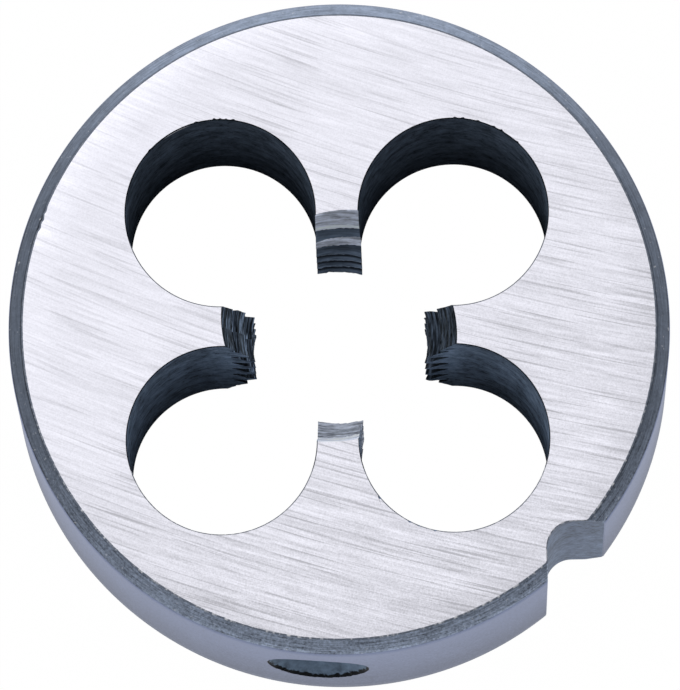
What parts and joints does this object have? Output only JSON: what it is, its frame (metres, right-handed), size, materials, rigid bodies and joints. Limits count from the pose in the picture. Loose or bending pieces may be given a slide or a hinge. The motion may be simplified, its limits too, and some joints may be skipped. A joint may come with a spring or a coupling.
{
  "type": "round threading die",
  "caption": "Solid round threading die: a steel disc with a threaded centre, chip holes between its cutting lands, a V groove and conical recesses in the rim.",
  "frame": {"origin": "centre of the back face, on the thread axis, where the die lies flat", "axes": "+Z along the thread axis, out of the front face; +X through the middle of one cutting land, so the chip holes lie at 45 degrees to X and Y and the V groove opens towards +X and -Y"},
  "size_m": [0.03, 0.03, 0.011],
  "materials": {
    "tool_steel": "hardened tool steel: both faces ground bright with fine straight lines, bevels and V groove left blue-grey, rim turned satin, chip holes and thread dark"
  },
  "bodies": {
    "root": {"die_body": "tool_steel"}
  },
  "joints": []
}
